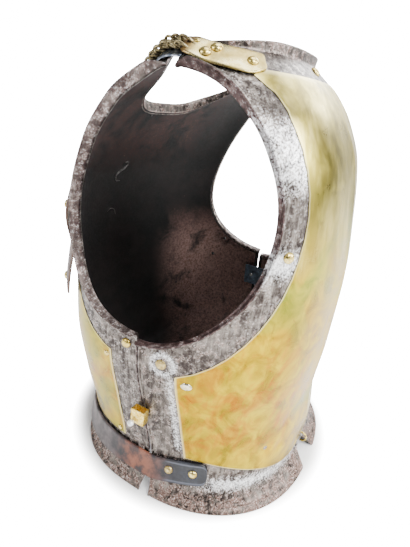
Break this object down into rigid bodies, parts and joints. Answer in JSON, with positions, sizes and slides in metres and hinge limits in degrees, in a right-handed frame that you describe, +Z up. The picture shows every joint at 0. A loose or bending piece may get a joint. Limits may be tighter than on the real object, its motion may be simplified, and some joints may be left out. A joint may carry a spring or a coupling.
{
  "type": "cuirass",
  "caption": "Steel breastplate and backplate faced with sheet brass, joined by chained shoulder straps, side staples and a riveted waist belt.",
  "frame": {"origin": "on the floor under the middle of the cuirass's bounding box", "axes": "+Z up the wearer's height, -Y out of the chest, -X towards the wearer's right side"},
  "size_m": [0.335, 0.3192, 0.463],
  "materials": {
    "plate_steel": "old polished steel, pitted, with brown rust; dark paint inside",
    "sheet_brass": "polished sheet brass, tarnished and dented",
    "fitting_brass": "cast brass, worn bright",
    "pale_brass": "pale cast brass, worn smooth",
    "chain_brass": "twisted brass wire, dull",
    "bright_steel": "worn bright steel",
    "blued_steel": "dark blue-grey oxidised steel",
    "belt_leather": "blackened leather, worn red-brown over the side",
    "strap_leather": "brown leather, worn"
  },
  "bodies": {
    "root": {"front_plate": "plate_steel", "back_plate": "plate_steel", "front_facing": "sheet_brass", "back_facing": "sheet_brass", "waist_belt": "belt_leather", "rivet_front_border_right": "fitting_brass", "rivet_front_border_left": "fitting_brass", "rivet_front_corner_right": "fitting_brass", "rivet_front_corner_left": "fitting_brass", "rivet_back_corner_right": "fitting_brass", "rivet_back_corner_left": "fitting_brass", "rivet_front_facing_right": "fitting_brass", "rivet_front_facing_left": "fitting_brass", "rivet_back_facing_top_right": "fitting_brass", "rivet_back_facing_top_left": "fitting_brass", "rivet_back_facing_low_right": "fitting_brass", "rivet_back_facing_low_left": "fitting_brass", "rivet_belt_rear_right": "fitting_brass", "rivet_belt_rear_left": "fitting_brass", "rivet_belt_front_right": "fitting_brass", "rivet_belt_front_left": "fitting_brass", "rivet_shoulder_low_right": "fitting_brass", "rivet_shoulder_low_left": "fitting_brass", "rivet_shoulder_high_right": "fitting_brass", "rivet_shoulder_high_left": "fitting_brass", "rivet_shoulder_front_right": "fitting_brass", "rivet_shoulder_front_left": "fitting_brass", "rivet_shoulder_small_right": "fitting_brass", "rivet_shoulder_small_left": "fitting_brass", "rivet_neck": "fitting_brass", "shoulder_strap_right": "strap_leather", "shoulder_strap_left": "strap_leather", "shoulder_tongue_right": "bright_steel", "shoulder_tongue_left": "bright_steel", "stud_strap_high_right": "fitting_brass", "stud_strap_high_left": "fitting_brass", "stud_strap_low_right": "fitting_brass", "stud_strap_low_left": "fitting_brass", "stud_chain_end_right": "fitting_brass", "stud_chain_end_left": "fitting_brass", "shoulder_end_plate_right": "pale_brass", "shoulder_end_plate_left": "pale_brass", "chain_inner_1_right": "chain_brass", "chain_inner_1_left": "chain_brass", "chain_inner_2_right": "chain_brass", "chain_inner_2_left": "chain_brass", "chain_outer_1_right": "chain_brass", "chain_outer_1_left": "chain_brass", "chain_outer_2_right": "chain_brass", "chain_outer_2_left": "chain_brass", "side_staple_right": "fitting_brass", "side_staple_left": "fitting_brass", "side_pin_right": "bright_steel", "side_pin_left": "bright_steel", "inner_plate_right": "blued_steel", "inner_plate_left": "blued_steel", "rivet_inner_plate_right": "bright_steel", "rivet_inner_plate_left": "bright_steel", "waist_ring": "fitting_brass"}
  },
  "joints": []
}
